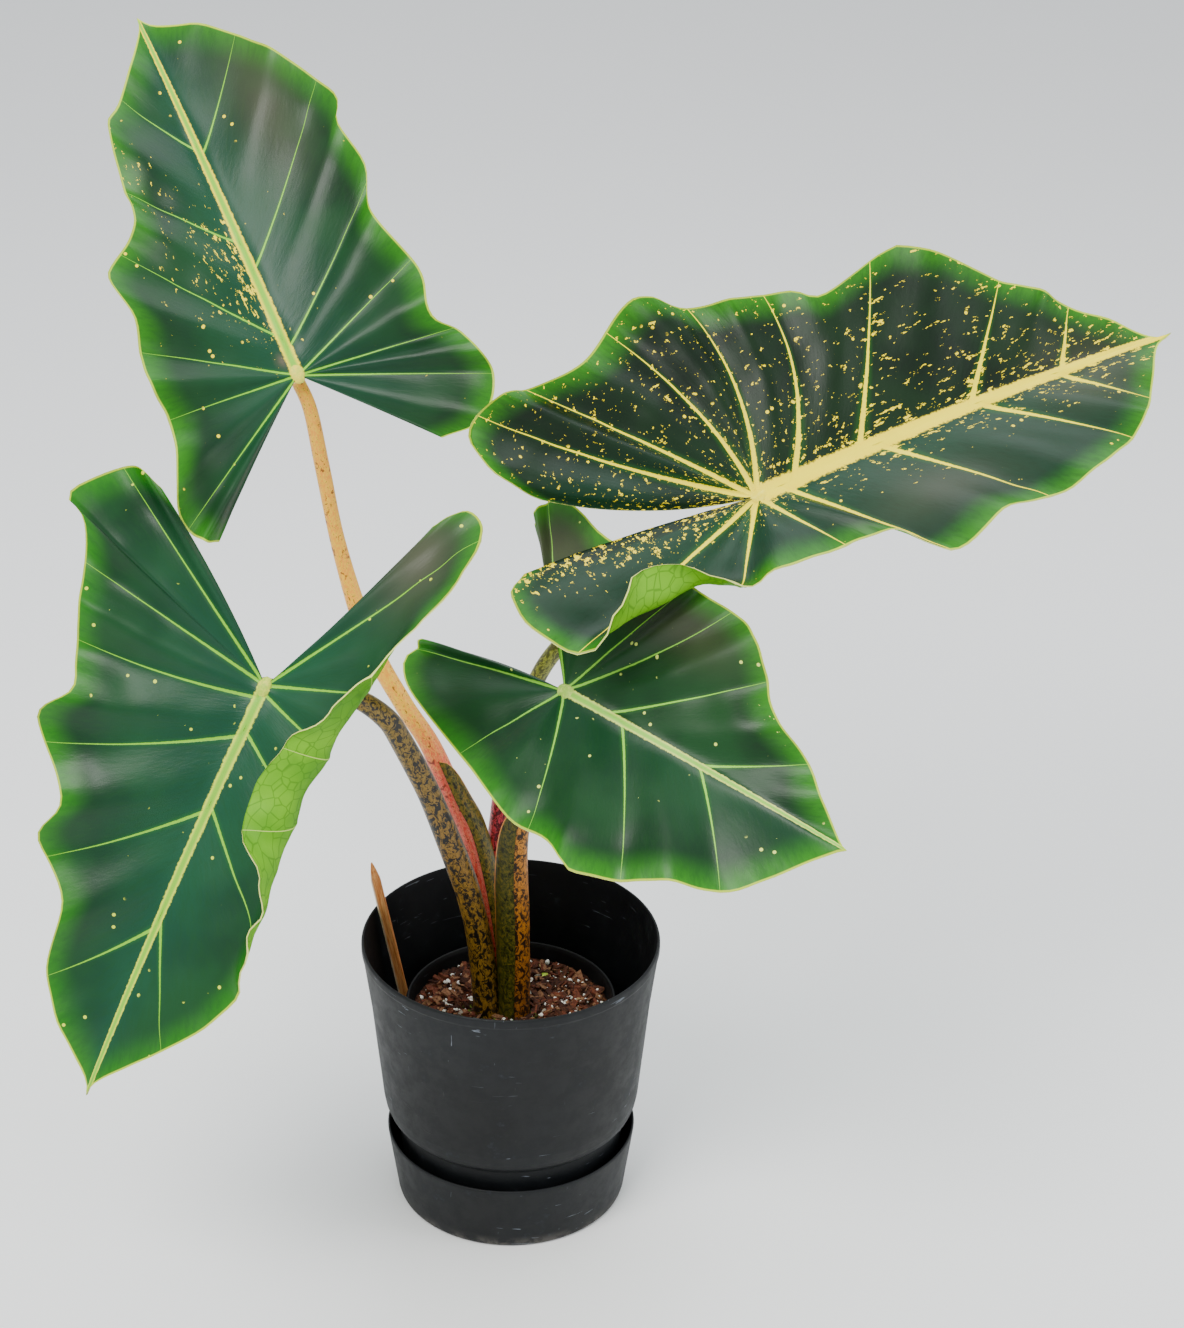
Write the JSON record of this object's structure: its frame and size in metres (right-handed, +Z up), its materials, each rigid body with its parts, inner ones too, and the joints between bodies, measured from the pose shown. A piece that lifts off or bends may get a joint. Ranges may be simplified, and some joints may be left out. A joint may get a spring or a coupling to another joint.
{
  "type": "potted alocasia",
  "caption": "Potted elephant-ear plant with arrow-shaped wavy leaves on long stalks, in a nursery pot inside a taller tapered planter on a matching saucer.",
  "frame": {"origin": "centre of the saucer's underside, on the pot axis", "axes": "+Z up along the pot axis, -Y towards the viewer the leaves face, +X towards the large right-hand leaf"},
  "size_m": [0.8384, 0.4781, 0.9204],
  "materials": {
    "planter_plastic": "matte",
    "pot_plastic": "matte",
    "potting_mix": "rough",
    "leaf_upper_left": "satin",
    "leaf_right": "satin",
    "leaf_lower_left": "satin",
    "leaf_lower_right": "satin",
    "stalk_gold": "satin",
    "stalk_red": "satin",
    "stalk_dark": "satin",
    "stalk_brown": "satin",
    "stick_wood": "rough",
    "leaf_scrap": "matte",
    "bark": "rough",
    "perlite": "matte"
  },
  "bodies": {
    "root": {"saucer": "planter_plastic", "outer_pot": "planter_plastic", "inner_pot": "pot_plastic", "soil": "potting_mix", "wooden_stick": "stick_wood", "leaf_scrap": "leaf_scrap", "petiole_upper_left": "stalk_gold", "petiole_right": "stalk_red", "petiole_lower_left": "stalk_dark", "petiole_lower_right": "stalk_brown", "leaf_upper_left_blade": "leaf_upper_left", "leaf_right_blade": "leaf_right", "leaf_lower_left_blade": "leaf_lower_left", "leaf_lower_right_blade": "leaf_lower_right", "bark_chip_1": "bark", "bark_chip_2": "bark", "bark_chip_3": "bark", "bark_chip_4": "bark", "bark_chip_5": "bark", "bark_chip_6": "bark", "perlite_1": "perlite", "perlite_2": "perlite", "perlite_3": "perlite", "perlite_4": "perlite", "perlite_5": "perlite", "perlite_6": "perlite", "perlite_7": "perlite", "perlite_8": "perlite"}
  },
  "joints": []
}
